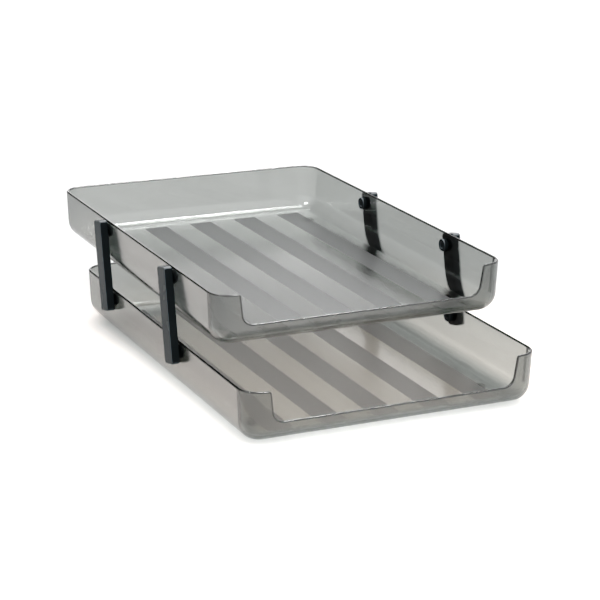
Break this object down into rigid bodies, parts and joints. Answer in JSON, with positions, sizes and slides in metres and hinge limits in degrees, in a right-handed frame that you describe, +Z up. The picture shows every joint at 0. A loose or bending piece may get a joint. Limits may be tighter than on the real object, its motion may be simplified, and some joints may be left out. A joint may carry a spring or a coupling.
{
  "type": "letter tray",
  "caption": "Stacked clear letter trays on black swing links: the upper tray stays level as it swings back or folds forward over the lower one.",
  "frame": {"origin": "on the desk, under the middle of the object's box at rest, level with the underside of the lower tray's feet", "axes": "+X to the right, +Y to the back, +Z up; the trays open towards -Y"},
  "size_m": [0.2696, 0.4326, 0.1045],
  "materials": {
    "smoke_polystyrene": "clear smoke-grey moulded polystyrene, polished, with frosted bands along the floor",
    "black_link_plastic": "black moulded plastic with a soft shine"
  },
  "bodies": {
    "lower_tray": {"lower_tray": "smoke_polystyrene"},
    "upper_tray": {"upper_tray": "smoke_polystyrene"},
    "link_rear_left": {"link_rear_left": "black_link_plastic", "pin_lower_rear_left": "black_link_plastic", "pin_upper_rear_left": "black_link_plastic"},
    "link_rear_right": {"link_rear_right": "black_link_plastic", "pin_lower_rear_right": "black_link_plastic", "pin_upper_rear_right": "black_link_plastic"},
    "link_front_left": {"link_front_left": "black_link_plastic", "pin_lower_front_left": "black_link_plastic", "pin_upper_front_left": "black_link_plastic"},
    "link_front_right": {"link_front_right": "black_link_plastic", "pin_lower_front_right": "black_link_plastic", "pin_upper_front_right": "black_link_plastic"}
  },
  "joints": [
    {"name": "tray_swing", "type": "hinge", "parent": "lower_tray", "child": "link_rear_left", "pos_m": [-0.1278, 0.08171, 0.035], "axis": [-1, 0, 0], "range_deg": [-55, 31]},
    {"name": "rear_right_swing", "type": "hinge", "parent": "lower_tray", "child": "link_rear_right", "pos_m": [0.1278, 0.08171, 0.035], "axis": [-1, 0, 0], "range_deg": [-55, 31]},
    {"name": "front_left_swing", "type": "hinge", "parent": "lower_tray", "child": "link_front_left", "pos_m": [-0.1278, -0.07329, 0.035], "axis": [-1, 0, 0], "range_deg": [-55, 31]},
    {"name": "front_right_swing", "type": "hinge", "parent": "lower_tray", "child": "link_front_right", "pos_m": [0.1278, -0.07329, 0.035], "axis": [-1, 0, 0], "range_deg": [-55, 31]},
    {"name": "upper_tray_level", "type": "hinge", "parent": "link_rear_left", "child": "upper_tray", "pos_m": [-0.1278, 0.09429, 0.09418], "axis": [-1, 0, 0], "range_deg": [-31, 55]}
  ],
  "couplings": [
    {"joint": "rear_right_swing", "follows": "tray_swing", "ratio": 1},
    {"joint": "front_left_swing", "follows": "tray_swing", "ratio": 1},
    {"joint": "front_right_swing", "follows": "tray_swing", "ratio": 1},
    {"joint": "upper_tray_level", "follows": "tray_swing", "ratio": -1}
  ]
}
